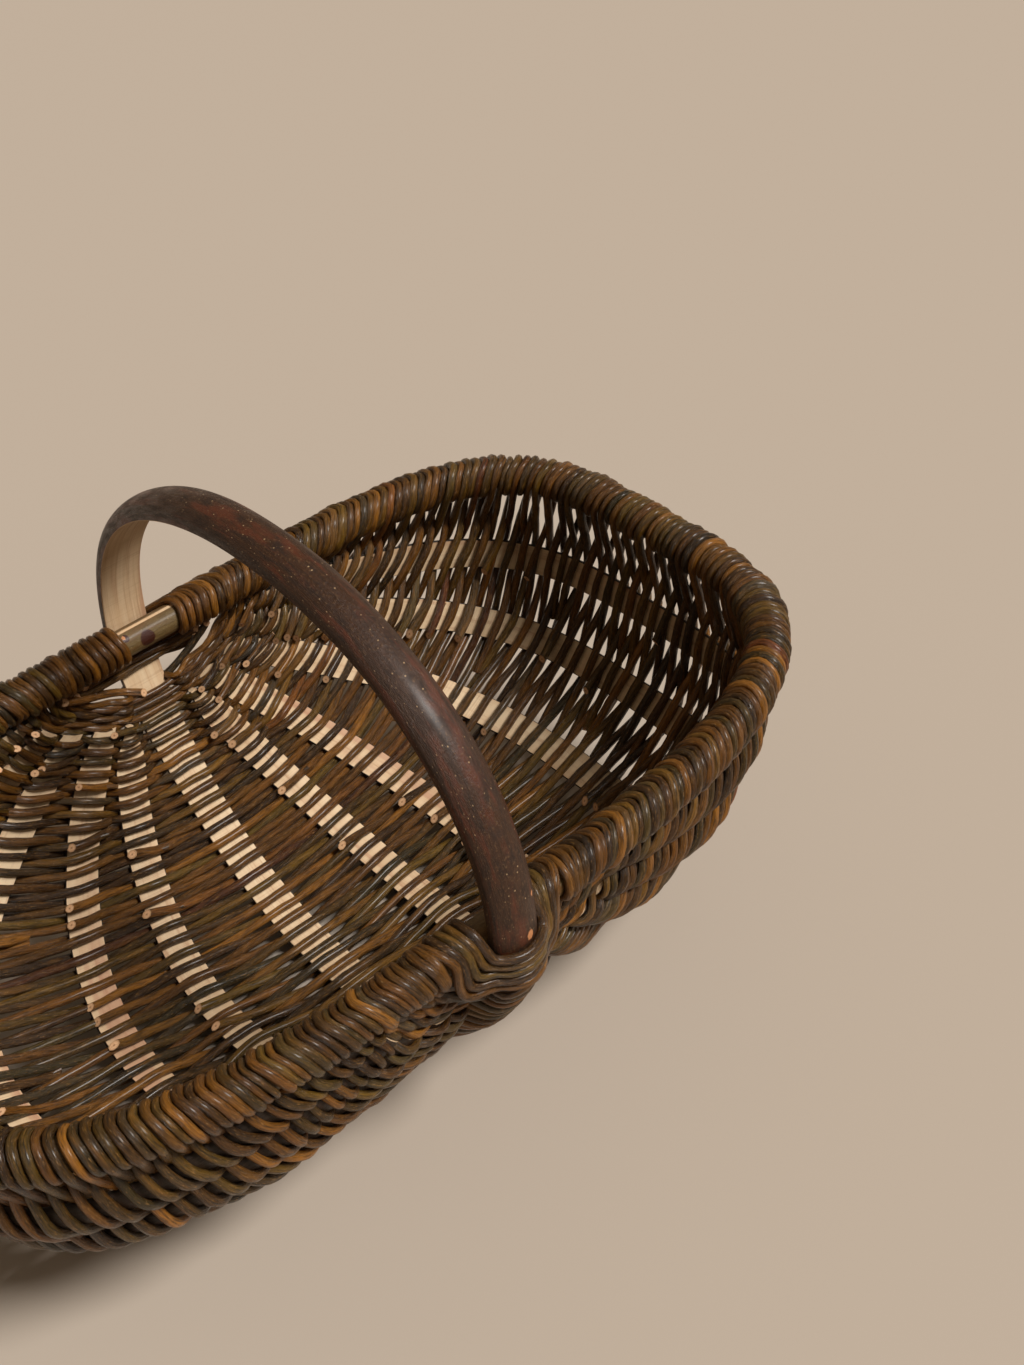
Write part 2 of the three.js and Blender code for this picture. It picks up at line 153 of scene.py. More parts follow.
def make_grid():
    points, lengths = map(np.array, zip(*map(line_of, GRID_LEANS)))
    along = unit(np.gradient(points, axis=1))
    across = np.gradient(points, GRID_LEANS, axis=0)
    low, high = np.searchsorted(GRID_SHARES, (EAR_SHARE, 1 - EAR_SHARE))
    across[:, :low] = across[:, low : low + 1]
    across[:, high:] = across[:, high - 1 : high]
    out = unit(np.cross(across, along))
    square = np.cross(along, out)
    per_degree = np.sum(across * square, axis=2, keepdims=True)  # mm square to the line
    return points, lengths, across, out, per_degree


POINTS, LENGTHS, ACROSS, OUT, PER_DEGREE = make_grid()


def cell(steps, at):
    """The cell of the even steps that each value is in, and how far along it lies there."""
    at = (at - steps[0]) / (steps[1] - steps[0])
    low = np.clip(np.floor(at).astype(int), 0, len(steps) - 2)
    return low, (at - low)[..., None]


def sample(grid, lean, share):
    lean, share = np.broadcast_arrays(np.asarray(lean, float), np.asarray(share, float))
    (i, fi), (j, fj) = cell(GRID_LEANS, lean), cell(GRID_SHARES, share)
    low = grid[i, j] * (1 - fj) + grid[i, j + 1] * fj
    high = grid[i + 1, j] * (1 - fj) + grid[i + 1, j + 1] * fj
    return low * (1 - fi) + high * fi


def way_out(lean, share):
    return unit(sample(OUT, lean, share))


def on_bowl(lean, share, height=0.0):
    return sample(POINTS, lean, share) + way_out(lean, share) * np.asarray(height, float)[..., None]


def line_length(lean):
    return np.interp(lean, GRID_LEANS, LENGTHS)


def degree_at(lean, share):
    """How many mm one degree of lean is there, square to the line."""
    return float(sample(PER_DEGREE, lean, share)[0])


# The stakes that the rods pass: the rim's left side, the ribs with the hoop, and the rim's right side.

STAKES = (-RIM_LEAN, *[-lean for lean in reversed(RIB_LEANS)], 0, *RIB_LEANS, RIM_LEAN)
HOOP, RIM_STAKES = 6, {-1: 0, 1: 12}  # the numbers of the hoop and of the rim's sides
INNER_STAKES = range(1, 12)
HALF_SHARES = np.linspace(0, 1, 201)


def rib_half_table(i):
    """Half a rib's width at HALF_SHARES: it narrows towards the ears."""
    at = on_bowl(STAKES[i], HALF_SHARES)

    def away(lean):
        other = on_bowl(lean, np.linspace(0, 1, LINE_SAMPLES + 1))
        return norm(at[:, None] - other[None], axis=2).min(1)

    spacing = np.minimum(away(STAKES[i - 1]), away(STAKES[i + 1]))
    half = np.minimum(RIB_WIDTH / 2, (spacing - RIB_GAP) / 2)
    half = np.minimum(half, away(0) - HANDLE_WIDTH / 2 - WEAVER - RIB_GAP)
    return np.minimum(half, away(RIM_LEAN * np.sign(STAKES[i])) - RIM_RADIUS - WEAVER - RIB_GAP)


HALVES = {i: rib_half_table(i) for i in INNER_STAKES if i != HOOP}


def rib_half(i, share):
    return np.interp(share, HALF_SHARES, HALVES[i])


def hoop_section(share):
    """The hoop's offset, width and thickness under the bowl."""
    from_ear = np.minimum(share, 1 - np.asarray(share)) * line_length(0)
    t = smoothstep(0, THINNING_LENGTH, from_ear)
    offset = EAR_OFFSET + (KEEL_OFFSET - EAR_OFFSET) * t
    width = HANDLE_WIDTH + (KEEL_WIDTH - HANDLE_WIDTH) * t
    return offset, width, HANDLE_THICKNESS + (KEEL_THICKNESS - HANDLE_THICKNESS) * t


# Curves and skins.


def between(t, t0, t1, first, second):
    return (t1 - t) / (t1 - t0) * first + (t - t0) / (t1 - t0) * second


def spline(points, extra):
    """Close samples of a smooth curve through the points. extra is carried along linearly."""
    points = np.asarray(points, float)
    keep = np.concatenate([[True], norm(np.diff(points, axis=0), axis=1) > 0.3])
    points = points[keep]
    extra = np.asarray(extra, float)[keep]
    padded = np.vstack([2 * points[0] - points[1], points, 2 * points[-1] - points[-2]])
    knots = np.concatenate([[0], np.cumsum(np.sqrt(norm(np.diff(padded, axis=0), axis=1)))])
    t = np.linspace(0, 1, SPLINE_STEPS + 1)[:-1]
    pieces, carried = [], []
    for k in range(len(points) - 1):
        p0, p1, p2, p3 = padded[k : k + 4]
        t0, t1, t2, t3 = knots[k : k + 4]
        at = (t1 + (t2 - t1) * t)[:, None]
        a1 = between(at, t0, t1, p0, p1)
        a2 = between(at, t1, t2, p1, p2)
        a3 = between(at, t2, t3, p2, p3)
        b1 = between(at, t0, t2, a1, a2)
        b2 = between(at, t1, t3, a2, a3)
        pieces.append(between(at, t1, t2, b1, b2))
        carried.append(extra[k] + (extra[k + 1] - extra[k]) * t)
    return np.vstack([*pieces, points[-1:]]), np.concatenate([*carried, extra[-1:]])


def resample(path, step):
    """Points about a step apart on the path, and the length up to each."""
    lengths = lengths_along(path)
    count = max(int(round(lengths[-1] / step)), 2) + 1
    wanted = np.linspace(0, lengths[-1], count)
    return places_along(path, lengths, wanted), wanted


def sideways(path):
    """The path's direction at each of its points, and a steady pair of directions square to it."""
    tangents = unit(np.gradient(path, axis=0))
    first = np.cross(tangents[0], (0.31, 0.17, 0.93))
    side = first / norm(first)
    sides = []
    for tangent in tangents:
        side = side - tangent * (side @ tangent)
        side = side / math.sqrt(side @ side)
        sides.append(side)
    sides = np.array(sides)
    return tangents, sides, np.cross(tangents, sides)


class Skin:
    """Closed tubes and lofts that become one mesh, with a tint and a grain place at each point."""

    def __init__(self):
        self.points, self.faces, self.normals, self.slots = [], [], [], []
        self.tints, self.grains, self.count = [], [], 0

    def loft(self, rings, normals, tint, grain, caps, slots=None):
        """Adds rings, (n, m, 3). caps are the material slots of the ends, slots those of the m sides.

        tint is one colour, or one for each ring, or one for each point.
        """
        n, m = rings.shape[:2]
        base = self.count
        self.points.append(rings.reshape(-1, 3))
        if np.ndim(tint) == 2:
            tint = tint[:, None]
        self.tints.append(np.broadcast_to(tint, (n, m, 3)).reshape(-1, 3))
        self.grains.append(grain.reshape(-1, 3))
        self.count += n * m
        i, j = np.meshgrid(np.arange(n - 1), np.arange(m), indexing="ij")
        k = (j + 1) % m
        quads = np.stack([i * m + j, i * m + k, (i + 1) * m + k, (i + 1) * m + j], -1).reshape(-1, 4)
        flat = normals.reshape(-1, 3)
        corner = rings.reshape(-1, 3)[quads]
        facing = np.cross(corner[:, 1] - corner[:, 0], corner[:, 3] - corner[:, 0])
        turned = np.sum(facing * flat[quads[:, 0]]) < 0
        if turned:
            quads = quads[:, ::-1]
        self.faces.extend((quads + base).tolist())
        self.normals.append(flat[quads.reshape(-1)])
        sides = np.zeros(m, int) if slots is None else np.asarray(slots)
        self.slots.append(np.tile(sides, n - 1))
        for ring, slot, order in ((0, caps[0], -1), (n - 1, caps[1], 1)):
            corners = (base + ring * m + np.arange(m))[:: -order if turned else order]
            inner = 1 if ring == 0 else n - 2
            ahead = rings[ring].mean(0) - rings[inner].mean(0)
            facing = unit(np.cross(rings[ring], np.roll(rings[ring], -1, axis=0)).sum(0))
            facing = facing * np.sign(facing @ ahead)
            self.faces.append(corners.tolist())
            self.normals.append(np.broadcast_to(facing, (m, 3)))
            self.slots.append([slot])

    def piece(self, name, materials, node, slot):
        """Makes the object, which takes the place of a CAD node. slot is not used."""
        mesh = bpy.data.meshes.new(name)
        points = np.vstack(self.points)
        points[:, 2] = np.maximum(points[:, 2], 0)  # the rods that stand on the ground are worn flat
        mesh.from_pydata((points / 1000).tolist(), [], self.faces)
        for material in materials:
            mesh.materials.append(material)
        mesh.polygons.foreach_set("material_index", np.concatenate(self.slots).astype(np.int32))
        mesh.polygons.foreach_set("use_smooth", np.ones(len(self.faces), bool))
        tint = mesh.attributes.new("tint", "FLOAT_COLOR", "POINT")
        colours = np.hstack([np.vstack(self.tints), np.ones((self.count, 1))])
        tint.data.foreach_set("color", colours.astype(np.float32).ravel())
        grain = mesh.attributes.new("grain", "FLOAT_VECTOR", "POINT")
        grain.data.foreach_set("vector", np.vstack(self.grains).astype(np.float32).ravel())
        mesh.update()
        mesh.normals_split_custom_set(np.vstack(self.normals).astype(np.float32).tolist())
        made = add_object(name, mesh)
        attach(made, "root")
        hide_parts(node)


# Willow rods.


def srgb(red, green, blue):
    c = np.array([red, green, blue]) / 255
    return np.where(c <= 0.04045, c / 12.92, ((c + 0.055) / 1.055) ** 2.4)


# Bark colours, each with how common it is.
BARKS = (
    (srgb(118, 73, 20), 8),  # brown
    (srgb(74, 46, 12), 7.5),  # dark brown
    (srgb(160, 103, 30), 3.5),  # ochre
    (srgb(106, 78, 20), 4.8),  # olive
    (srgb(84, 68, 28), 1.2),  # grey-green
    (srgb(118, 60, 18), 0.8),  # red-brown
    (srgb(86, 68, 40), 1.2),  # grey
)
BARK_SHARES = np.array([share for _, share in BARKS])
BARK_CHANCES = BARK_SHARES / BARK_SHARES.sum()
OTHER_BARK = 0.4  # the most of a second colour that is mixed in
BARK_LIGHT = (0.42, 1.14)


# light scales the tint: above 1 it is painted light, below 1 it is painted shade.
def rod_tint(light=1.0):
    colour = BARKS[rng.choice(len(BARKS), p=BARK_CHANCES)][0]
    other = BARKS[rng.choice(len(BARKS), p=BARK_CHANCES)][0]
    mixed = colour + (other - colour) * rng.uniform(0, OTHER_BARK)
    return mixed * rng.uniform(*BARK_LIGHT) * light


def wander(lengths, size, wave):
    """A smooth random drift along a length, of about the given size and wavelength."""
    total = np.zeros_like(lengths)
    for k in (1, 1.7, 2.9):
        total += np.sin(lengths * (2 * math.pi * k / wave) + rng.uniform(0, 2 * math.pi)) / k
    return total * size / 1.5


def relaxed(path):
    """The path once the rod's spring has straightened it, the more the wider its stakes stand."""
    from_axis = np.hypot(path[:, 0], path[:, 2] - RIM_HEIGHT)
    below_rim = RIM_HEIGHT + END_RISE * (path[:, 0] / (RIM_LENGTH / 2)) ** 2 - path[:, 2]
    rate = SPRING * np.minimum(from_axis / BOWL_DEPTH, 1) ** 2 * smoothstep(10, 26, below_rim)
    path = path.copy()
    for _ in range(SPRING_STEPS):
        path[1:-1] += rate[1:-1, None] * (path[:-2] + path[2:] - 2 * path[1:-1])
    return path


def add_rod(skins, points, radii, tint, cuts=(), faces=(None, None)):
    """One rod along the points. cuts share it out: skins[i] gets the stretch up to cuts[i].

    faces gives the ways that its cut ends look, where they are known.
    """
    curve, radii = spline(points, radii)
    path, lengths = resample(curve, ROD_STEP)
    radii = np.interp(lengths, lengths_along(curve), radii)
    path = relaxed(path)
    _, u, v = sideways(path)
    total = lengths[-1]
    quiet = smoothstep(0, 12, lengths) * smoothstep(0, 12, total - lengths)
    path = path + u * (wander(lengths, ROD_DRIFT, 46) * quiet)[:, None]
    path = path + v * (wander(lengths, ROD_DRIFT, 52) * quiet)[:, None]
    tangents, u, v = sideways(path)
    radii = radii + wander(lengths, THICKNESS_DRIFT, 26)
    for knot in np.arange(rng.uniform(5, 30), total, rng.uniform(30, 48)):
        radii = radii * (1 + KNOT_SWELL * np.exp(-(((lengths - knot) / KNOT_LENGTH) ** 2)))
    turn = circle(ROD_SIDES)
    normals = u[:, None] * np.cos(turn)[None, :, None] + v[:, None] * np.sin(turn)[None, :, None]
    rings = path[:, None] + normals * radii[:, None, None]
    for ring, way, face in ((0, -1, faces[0]), (-1, 1, faces[1])):  # a slanting cut at each end
        if face is None:
            slant = np.cos(turn + rng.uniform(0, 6.3)) * rng.uniform(0.2, 0.75)
        else:
            slant = -(normals[ring] @ face) * rng.uniform(0.6, 1.1)
        rings[ring] += tangents[ring] * (slant * radii[ring] * way)[:, None]
    grain = grain_on(turn, radii[:, None], lengths + rng.uniform(0, 4000))
    shade = 1 + wander(lengths, SHADE_DRIFT, 160)
    tints = tint[None] * shade[:, None]
    nearest = [0]
    for cut in cuts:
        away = norm(path - cut, axis=1)
        away[: nearest[-1] + 1] = np.inf
        nearest.append(int(np.argmin(away)))
    nearest.append(len(path) - 1)
    for k, skin in enumerate(skins):
        low, high = nearest[k], nearest[k + 1]
        if high - low < 1:
            continue
        part = slice(low, high + 1)
        caps = (1 if k == 0 else 0, 1 if k == len(skins) - 1 else 0)
        skin.loft(rings[part], normals[part], tints[part], grain[part], caps)


def grain_on(turn, radii, lengths):
    """The place of each point in the rod's own wood: two measures across it, and one along it."""
    radii = np.broadcast_to(radii, (len(lengths), len(turn)))
    along = np.broadcast_to(lengths[:, None], radii.shape)
    return np.stack([np.cos(turn) * radii, np.sin(turn) * radii, along], -1)


# The rows: where each lies on each line, on the left and on the right.


class Row:
    """One pass of the weave: from rim to rim, or out to the rim on one side, or back again."""

    def __init__(self, kind, parity, place, start=0.0):
        self.kind, self.parity, self.start = kind, parity, start
        middle = float(smoothstep(0, THICKENING, min(place, 1 - place)))
        mean_size = THIN + (THICK - THIN) * middle
        self.size = mean_size + float(np.clip(rng.normal(0, SIZE_DRIFT), *SIZE_LIMITS))
        self.room = (CLOSE + (WIDE - CLOSE) * middle) * self.size / mean_size
        rim_size = rng.normal(RIM_SIZE + RIM_THICKENING * middle, RIM_DRIFT)
        self.rim_size = float(np.clip(rim_size, *RIM_LIMITS))
        self.slope = rng.uniform(-0.1, 0.1)
        self.phases = rng.uniform(0, 2 * math.pi, 2)
        self.loose = rng.uniform(0.0, 1.0)

    def radius(self, lean):
        size = self.size * (1 + self.slope * float(lean) / RIM_LEAN)
        return float(size + (self.rim_size - size) * smoothstep(64, 88, abs(lean))) / 2

    def weight(self, lean):
        """The row's share of a line, before it is fitted to the line's length."""
        drift = 0.1 * np.sin(lean / 11 + self.phases[0]) + 0.05 * np.sin(lean / 5 + self.phases[1])
        at_rim = smoothstep(74, 89, lean)
        inner = self.room * (1 + drift + 0.12 * (self.loose - 0.5) * smoothstep(20, 60, lean))
        weight = inner + (self.rim_size - inner) * at_rim
        if self.kind == "full":
            return weight
        return weight * (smoothstep(self.start - 9, self.start + 3, lean) + 1e-4) * (1 - 0.5 * at_rim)

    def outside(self, i):
        """Whether the row passes stake i on the bowl's outer side."""
        return (i + self.parity) % 2 == 0


full_rows = [Row("full", number % 2, number / (ROWS - 1)) for number in range(ROWS)]
# The leans at which one side's pairs of short rows start, from the far ear to the near one.
SHORT_STARTS = (66.5, 55, 77, 66.5, 39, 66.5, 55, 66.5, 77, 55, 66.5,
                39, 66.5, 55, 77, 66.5, 55, 66.5, 39, 66.5, 55, 77)


def side_rows():
    """The rows of one side in order: the full rows, with pairs of short rows between."""
    after = {}
    spots = (np.arange(len(SHORT_STARTS)) + 0.5) / len(SHORT_STARTS) * (ROWS - 1)
    for spot, start in zip(spots, SHORT_STARTS):
        number = int(np.clip(spot + rng.integers(-1, 2), 2, ROWS - 3))
        after.setdefault(number, []).append(start)
    rows = []
    for number, row in enumerate(full_rows):
        rows.append(row)
        for start in after.get(number, []):
            place = number / (ROWS - 1)
            rows.append(Row("out", 1 - row.parity, place, start))
            rows.append(Row("back", row.parity, place, start))
    return rows


SIDES = {-1: side_rows(), 1: side_rows()}
SIDE_LEANS = np.linspace(0, RIM_LEAN, 181)


def row_ends(side):
    """The first and last share of the rows on each of SIDE_LEANS, clear of the turns at the ears."""
    ends = []
    for ear in ("far", "near"):
        on_hoop = (TURNS[ear] * TURN_PITCH + 2) / line_length(0)
        on_rim = (BARE[ear][side] + TURNS[ear] * WRAP_PITCH - 3) / line_length(RIM_LEAN)
        ends.append(on_hoop + (on_rim - on_hoop) * (SIDE_LEANS / RIM_LEAN) ** 3)
    return ends[0], 1 - ends[1]


def row_shares(side):
    """A table of each row's share at each of SIDE_LEANS."""
    first, last = row_ends(side)
    weights = np.array([row.weight(SIDE_LEANS) for row in SIDES[side]])
    before = np.cumsum(weights, axis=0) - weights / 2
    return first + (last - first) * before / weights.sum(0)


SHARES = {side: row_shares(side) for side in SIDES}


def share_of(side, place, lean):
    return float(np.interp(np.abs(lean), SIDE_LEANS, SHARES[side][place]))


# The path of a rod.


def slant_at(side, place):
    """How far a row runs towards the nearer ear, in mm per mm, as it goes down from the rim."""
    below_lean = RIB_LEANS[-1]
    on_rim, below = share_of(side, place, RIM_LEAN), share_of(side, place, below_lean)
    ear = -1 if on_rim < 0.5 else 1
    from_ear = min(on_rim, 1 - on_rim) * line_length(RIM_LEAN)
    from_ear -= min(below, 1 - below) * line_length(below_lean)
    drop = degree_at(84, on_rim) * (RIM_LEAN - below_lean)
    return ear * float(np.clip(from_ear / drop, -0.2, 1.3))


def ring_points(side, share, degrees, radius, slant):
    """Points on the turn of a rod round the rim. 0 degrees is inside, 90 on top, 180 outside."""
    degrees = np.asarray(degrees, float)
    aside = 0.8 * slant * np.mean(radius) * np.radians(np.abs(degrees - 90))
    shifted = share + (WRAP_PITCH * (degrees / 360 - 0.25) + aside) / line_length(RIM_LEAN)
    out = way_out(RIM_LEAN * side, shifted)
    up = unit(sample(ACROSS, RIM_LEAN * side, shifted)) * side
    centre = sample(POINTS, RIM_LEAN * side, shifted)
    turn = np.radians(degrees)[:, None]
    reach = np.broadcast_to(radius, degrees.shape)[:, None]
    return centre + reach * (-np.cos(turn) * out + np.sin(turn) * up)


def rim_turn(side, share, outside, radius, slant):
    """A rod's end at the rim, from below: up on one side, over the top, and down on the other."""
    degrees = np.array([-15, 10, 45, 90, 135, 180, 215, 242])
    tuck = np.array([0, 0, 0, 0, 0, 0, -0.4, -1.8])
    reach = RIM_RADIUS + radius + WRAP_GAP + tuck
    return ring_points(side, share, 180 - degrees if outside else degrees, reach, slant)


def stake_points(i, lean, share, outside, radius):
    """Three places, (lean, height), that lead a rod past stake i, or one where the rib hasn't begun."""
    if i == HOOP:
        offset, width, thickness = hoop_section(share)
        half = width / 2
        if outside:
            edge = offset + 0.25 * thickness + radius * 0.75
            middle = offset + thickness / 2 + radius
            half = half * 0.78 + radius * 0.5
        else:
            edge = middle = min(offset - thickness / 2 - radius, 1.5)
    else:
        half = min(rib_half(i, share), 9.2)
        if half < RIB_TIP / 2 or not RIB_START < share < 1 - RIB_START:
            return [(lean, 0.8 * radius if outside else -0.8 * radius)]
        if outside:
            crest = RIB_OUTER + radius + 0.3
            edge, middle, half = crest - 1.2, crest + 0.3, half * 0.7
        else:
            inner = RIB_INNER - radius - 0.2
            edge, middle, half = inner + 0.5, inner - 0.2, half * 0.8
    aside = half / degree_at(lean, share)
    return [(lean - aside, edge), (lean, middle), (lean + aside, edge)]


def weave_part(share):
    """Which course, or which ear's lashing, a row at this share of the hoop's line belongs to."""
    if share < LASHING_END or share > 1 - LASHING_END:
        return "far" if share < 0.5 else "near"
    course = int((share - LASHING_END) / (1 - 2 * LASHING_END) * len(COURSES))
    return COURSES[min(course, len(COURSES) - 1)]


skins = {name: Skin() for name in (*COURSES, *TURNS)}
wraps = {-1: Skin(), 1: Skin()}


def side_of(lean):
    return -1 if lean < 0 else 1


def bowl_stops(row, places):
    """The row's stops on its way over the stakes, from left to right: (point, radius, stake)."""
    stops = []
    for i in INNER_STAKES:
        lean = STAKES[i]
        side = side_of(lean)
        if row.kind != "full" and (side not in places or abs(lean) < max(row.start - 1, 1)):
            continue
        share = share_of(side, places[side], lean)
        for at, height in stake_points(i, lean, share, row.outside(i), row.radius(lean)):
            share = share_of(side_of(at), places[side_of(at)], at)
            jitter = rng.normal(0, 0.14, 2)
            point = on_bowl(at, share + jitter[0] / 600, height + jitter[1])
            stops.append((point, row.radius(at), i))
    return stops


def below_rim(point):
    """A place below the rim, where the wrapping's part of a rod begins."""
    return point - np.array([0, 0, 5.0])


def inward(point):
    """The way from a point towards the middle of the space over the bowl."""
    return unit(np.array([0.0, 0.0, 70.0 + RIM_HEIGHT]) - point)


def splice_stakes(row, marks):
    """The ribs inside which one rod of a full row ends and the next begins."""
    inside = [i for i in HALVES if not row.outside(i) and np.count_nonzero(marks == i) == 3]
    if not inside or rng.random() >= SPLICED:
        return []
    first = int(rng.choice(inside))
    others = [i for i in inside if abs(i - first) >= 4]
    if others and rng.random() < SPLICED_TWICE:
        return sorted([first, int(rng.choice(others))])
    return [first]


def place_full(row):
    """The one to three rods of a row from rim to rim, with the turns round the rim at its ends."""
    places = {side: SIDES[side].index(row) for side in SIDES}
    stops, ends = bowl_stops(row, places), {}
    for side, stake in RIM_STAKES.items():
        share, radius = share_of(side, places[side], RIM_LEAN), row.radius(RIM_LEAN * side)
        turn = rim_turn(side, share, row.outside(stake), radius, slant_at(side, places[side]))
        ends[side] = [(point, radius, stake) for point in turn]
    points, radii, marks = map(np.array, zip(*ends[-1][::-1], *stops, *ends[1]))
    skin = skins[weave_part(share_of(1, places[1], 0))]
    splices = splice_stakes(row, marks)
    bounds = [0, *[int(np.flatnonzero(marks == i)[1]) for i in splices], len(points) - 1]
    last = len(bounds) - 2
    for k, (low, high) in enumerate(zip(bounds, bounds[1:])):
        chosen, thick = points[low : high + 1].copy(), radii[low : high + 1].copy()
        faces = [None, None]
        if k > 0:  # the butt of a new rod, laid beside the last one's tip
            chosen, thick = new_butt(chosen, thick, points, low)
            faces[0] = inward(chosen[0])
        if k < last:
            chosen, thick = old_tip(chosen, thick, points, high)
        stretches, cuts = [skin], []
        if k == 0:
            stretches.insert(0, wraps[-1])
            cuts.append(below_rim(ends[-1][0][0]))
        if k == last:
            stretches.append(wraps[1])
            cuts.append(below_rim(ends[1][0][0]))
        add_rod(stretches, chosen, thick, rod_tint(), cuts, faces)


def new_butt(chosen, thick, points, at):
    """Starts a rod inside a rib, its cut end standing a little way past the rib and into the bowl."""
    along = unit(points[at + 1] - points[at - 1])
    into = inward(points[at])
    aside = unit(np.cross(along, into)) * rng.choice((-1, 1)) * 1.1
    past = points[at] - along * rng.uniform(*PAST_RIB) + into * rng.uniform(2.4, 5.2) + aside
    near = chosen[0] + into * 1.5 + aside
    chosen = np.vstack([past, near, chosen[1:]])
    thick = np.concatenate([[thick[0]], thick])
    thick[:3] *= np.linspace(0.94, 1.02, 3)
    return chosen, thick


def old_tip(chosen, thick, points, at):
    """Ends a rod's thin tip behind the next rod's butt."""
    along = unit(points[at + 1] - points[at - 1])
    past = points[at] + along * rng.uniform(*PAST_RIB) - inward(points[at]) * 0.6
    chosen = np.vstack([chosen, past])
    thick = np.concatenate([thick, [thick[-1]]])
    thick[-3:] *= np.linspace(0.92, 0.66, 3)
    return chosen, thick


def place_pair(side, place):
    """One rod that runs out from a rib to the rim, turns round it, and runs back as the next row."""
    out_row, back_row = SIDES[side][place], SIDES[side][place + 1]
    legs = []
    for row, number in ((out_row, place), (back_row, place + 1)):
        start = max(row.start, 30)
        first = on_bowl(side * (start - 7), share_of(side, number, start), -0.6)
        legs.append([(first, row.radius(start), 0), *bowl_stops(row, {side: number})[::side]])
    share = (share_of(side, place, RIM_LEAN) + share_of(side, place + 1, RIM_LEAN)) / 2
    radius = out_row.radius(RIM_LEAN)
    degrees = np.array([190, 160, 125, 90, 55, 20, -10])
    if not out_row.outside(RIM_STAKES[side]):
        degrees = degrees[::-1]
    ring = ring_points(side, share, degrees, RIM_RADIUS + radius + WRAP_GAP, slant_at(side, place))
    stops = [*legs[0], *[(point, radius, 0) for point in ring], *legs[1][::-1]]
    points, radii, _ = zip(*stops)
    skin = skins[weave_part(share_of(side, place, out_row.start))]
    cuts = [below_rim(ring[0]), below_rim(ring[-1])]
    add_rod([skin, wraps[side], skin], points, radii, rod_tint(), cuts)


for row in full_rows:
    place_full(row)
for side in SIDES:
    for place, row in enumerate(SIDES[side]):
        if row.kind == "out":
            place_pair(side, place)


# The rods at each ear: the turns that tie the hoop to the rim, and those that cross under the rim.


def at_ear(ear, local, mirrored):
    """Places given as (x, out from the rim, up from the rim), at an ear. mirrored turns x as well."""
    way = 1 if ear == "far" else -1
    return np.array(local) * (way if mirrored else 1, way, 1) + (0, way * RIM_WIDTH / 2, RIM_HEIGHT)


def ear_turn(ear, k):
    """A rod from inside the rim over its top, slanting down outside, across the hoop, and up again."""
    radius = rng.uniform(2.2, 2.55)
    reach = RIM_RADIUS + radius + 0.1
    level = -2.5 - TURN_PITCH * k
    beside = HANDLE_WIDTH / 2 + radius
    degrees = np.array([-50, -20, 20, 55, 90, 120, 150])
    turned = np.radians(degrees)
    around = np.array([reach - 1.5, reach - 0.3, *[reach] * 5])
    points = []
    for side in (-1, 1):
        on_top = BARE[ear][side] + WRAP_PITCH * (k + 0.5)
        spreading = (1.8 if (ear, side) == ("near", 1) else 3.4) * k
        bend = beside + 0.9 + spreading
        x = on_top + (bend - on_top) * smoothstep(60, 215, degrees) - 2.5 * smoothstep(80, 0, degrees)
        ring = np.stack([side * x, -np.cos(turned) * around, np.sin(turned) * around], 1)
        out = 13.4 + 0.25 * k - 0.3 * (bend - beside - 0.9)
        edge = [[side * bend, out, min(level + 3.2, 1.5)], [side * (beside - 0.4), 15.0, level + 0.6]]
        crown = [[side * 8.2, 19.4 + radius - 2.2, level - 0.2]]
        part = np.vstack([ring, edge, crown])
        points.append(part if side < 0 else part[::-1])
    crest = [[0, EAR_OFFSET + HANDLE_THICKNESS / 2 + radius, level - 0.5]]
    world = at_ear(ear, np.vstack([points[0], crest, points[1]]), mirrored=False)
    # The turns' tint is lightened by 1.15: painted light.
    add_rod([skins[ear]], world, np.full(len(world), radius), rod_tint(1.15))


# Rods that cross the hoop's inner face under the rim: (x, out from the rim, up from the rim).
CROSSING = (
    ((-38, -0.5, -13), (-24, 2, -15.5), (-9, 5, -17), (8, 5, -18.5), (21, 4, -19), (36, 0, -15)),
    ((-44, -2, -15), (-33, 0, -19), (-21, 2.5, -21.5), (-3, 4.6, -22.6), (17, 4.2, -22.4),
     (34, 0.5, -17)),
    ((-52, -4, -13), (-40, -3, -19), (-27, 0.5, -26), (-15, 0.6, -31.5), (-6, -4.5, -34.5)),
    ((8, 3.2, -40), (15, 3.0, -36.5), (24, 2, -31), (32, 0.5, -25), (42, -2, -14)),
)


def crossing_rod(ear, places):
    world = at_ear(ear, places, mirrored=True)
    radii = np.full(len(world), rng.uniform(2.0, 2.5))
    faces = (inward(world[0]), inward(world[-1]))
    # The rods under the rim get a tint darkened to 0.85: painted shade.
    add_rod([skins[ear]], world, radii, rod_tint(0.85), faces=faces)


for ear in TURNS:
    for k in range(TURNS[ear]):
        ear_turn(ear, k)
    for places in CROSSING:
        crossing_rod(ear, places)


# The ribs, the hoop and the rim rod.

# Bare wood where the bark is nicked off, and the dark scars of branches: a place, and half the size
# along x and up.
HANDLE_NICKS = (((3.6, -164, RIM_HEIGHT + 3.6), 2.0, 3.0), ((8.6, -162, RIM_HEIGHT + 24), 1.1, 1.6))
RIM_SCARS = (((2.2, 137.2, RIM_HEIGHT + 1.5), 4.4, 4.4), ((-9.4, 140.2, RIM_HEIGHT + 6.2), 2.0, 1.5))
RIM_NICKS = (((-10.2, 140.2, RIM_HEIGHT + 6.9), 1.1, 0.8),)
HANDLE_STEP = 2.0
HANDLE_WAVES = ((0.012, 36, 0), (0.008, 15, 1))  # of its width: a share, a length in mm, and a phase
D_SIDES = 24
RIM_SIDES = 14
LAP_STATIONS, LAP_SIDES = 99, 26
